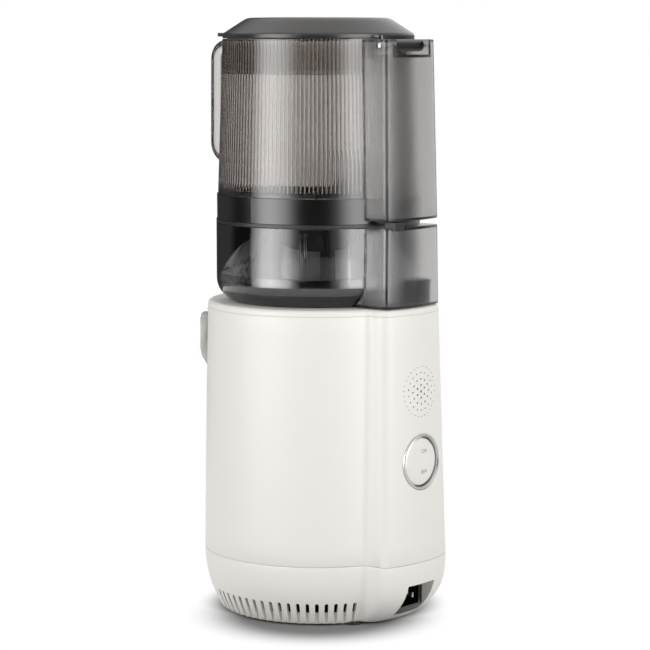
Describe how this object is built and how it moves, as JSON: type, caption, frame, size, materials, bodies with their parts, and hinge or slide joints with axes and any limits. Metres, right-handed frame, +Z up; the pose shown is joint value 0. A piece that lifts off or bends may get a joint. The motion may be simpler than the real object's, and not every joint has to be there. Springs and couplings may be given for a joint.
{
  "type": "cold press juicer",
  "caption": "Upright slow juicer: round motor base with a rear control pod, smoked juicing drum, fluted self-feeding hopper, hinged lid, front tap lever.",
  "frame": {"origin": "centre of the bounding box on the surface the feet stand on, which is also the drive axis", "axes": "+Z up along the drive axis; the juice spout, tap lever and hopper handle face -Y; the control pod and lid hinge face +Y"},
  "size_m": [0.18, 0.212, 0.461],
  "materials": {
    "shell": "satin",
    "smoke": "gloss",
    "frost": "frosted",
    "lid": "satin",
    "black": "fine texture",
    "soft": "matte",
    "grey": "matte",
    "chrome": "mirror",
    "steel": "brushed",
    "cast": "cast",
    "copper": "wound wire",
    "board": "coated",
    "gear": "moulded",
    "milky": "soft silicone",
    "brass": "sintered"
  },
  "bodies": {
    "base": {"base_shell": "shell", "bottom_plate": "black", "rubber_feet": "soft", "bottom_screws": "steel", "body_shell": "shell", "top_cover": "shell", "deck_seal": "soft", "deck_bush": "brass", "switch_bezel": "chrome", "rocker_pin": "steel", "switch_housing": "black", "control_board": "board", "vent_screen": "black", "inlet_socket": "black", "inlet_pins": "steel", "inner_leads": "copper", "motor_can": "steel", "stator_core": "steel", "stator_windings": "copper", "motor_bearings": "steel", "motor_screws": "steel", "gearbox_housing": "cast", "gearbox_cover": "cast", "cover_screws": "steel", "deck_screws": "steel", "idler_axle": "steel", "output_bearing": "steel"},
    "rocker": {"switch_rocker": "shell"},
    "rotor": {"rotor_core": "steel", "motor_shaft": "steel", "cooling_fan": "black"},
    "idler": {"idler_gear": "gear"},
    "output": {"output_gear": "steel", "output_shaft": "steel"},
    "drum": {"drum_bowl": "smoke", "drum_floor": "black", "drum_rear_cover": "frost", "drum_rim_ring": "black", "lock_block": "black", "juice_spout": "shell", "tap_pin": "steel", "pulp_spout": "black", "pulp_pin": "steel"},
    "button": {"lock_button": "grey"},
    "tap": {"tap_lever": "chrome", "tap_plug": "milky"},
    "flap": {"pulp_flap": "grey"},
    "strainer": {"strainer_frame": "black", "strainer_mesh": "steel"},
    "auger": {"auger_screw": "black", "auger_socket": "steel", "cutting_wing": "black"},
    "hopper": {"hopper_ring": "black", "hopper_seal": "grey", "hopper_tub": "smoke", "hopper_rear_cover": "frost", "hopper_handle": "smoke", "hinge_pin": "steel"},
    "lid": {"lid_shell": "lid", "lid_gasket": "soft"}
  },
  "joints": [
    {"name": "rocker_tilt", "type": "hinge", "parent": "base", "child": "rocker", "pos_m": [0, 0.0951, 0.1253], "axis": [1, 0, 0], "range_deg": [-7, 7], "stiffness_Nm_per_rad": 0.05},
    {"name": "motor_spin", "type": "hinge", "parent": "base", "child": "rotor", "pos_m": [0, 0, 0], "axis": [0, 0, 1], "continuous": true},
    {"name": "idler_spin", "type": "hinge", "parent": "base", "child": "idler", "pos_m": [0.0324, 0, 0], "axis": [0, 0, 1], "continuous": true},
    {"name": "output_spin", "type": "hinge", "parent": "base", "child": "output", "pos_m": [0, 0, 0], "axis": [0, 0, 1], "continuous": true},
    {"name": "drum_lift", "type": "slide", "parent": "base", "child": "drum", "axis": [0, 0, 1], "range_m": [0, 0.09]},
    {"name": "lock_push", "type": "slide", "parent": "drum", "child": "button", "axis": [0, -1, 0], "range_m": [0, 0.003], "stiffness_N_per_m": 400},
    {"name": "tap_swing", "type": "hinge", "parent": "drum", "child": "tap", "pos_m": [0, -0.0925, 0.225], "axis": [-1, 0, 0], "range_deg": [0, 90]},
    {"name": "pulp_swing", "type": "hinge", "parent": "drum", "child": "flap", "pos_m": [-0.0732, -0.06591, 0.2723], "axis": [-0.6691, 0.7431, 0], "range_deg": [0, 80]},
    {"name": "strainer_lift", "type": "slide", "parent": "drum", "child": "strainer", "axis": [0, 0, 1], "range_m": [0, 0.07]},
    {"name": "auger_spin", "type": "hinge", "parent": "strainer", "child": "auger", "pos_m": [0, 0, 0], "axis": [0, 0, 1], "continuous": true},
    {"name": "hopper_lift", "type": "slide", "parent": "strainer", "child": "hopper", "axis": [0, 0, 1], "range_m": [0, 0.06]},
    {"name": "lid_swing", "type": "hinge", "parent": "hopper", "child": "lid", "pos_m": [0, 0.0834, 0.44], "axis": [-1, 0, 0], "range_deg": [0, 95]}
  ],
  "couplings": [
    {"joint": "idler_spin", "follows": "motor_spin", "ratio": -0.2},
    {"joint": "output_spin", "follows": "motor_spin", "ratio": 0.04},
    {"joint": "auger_spin", "follows": "motor_spin", "ratio": 0.04}
  ]
}
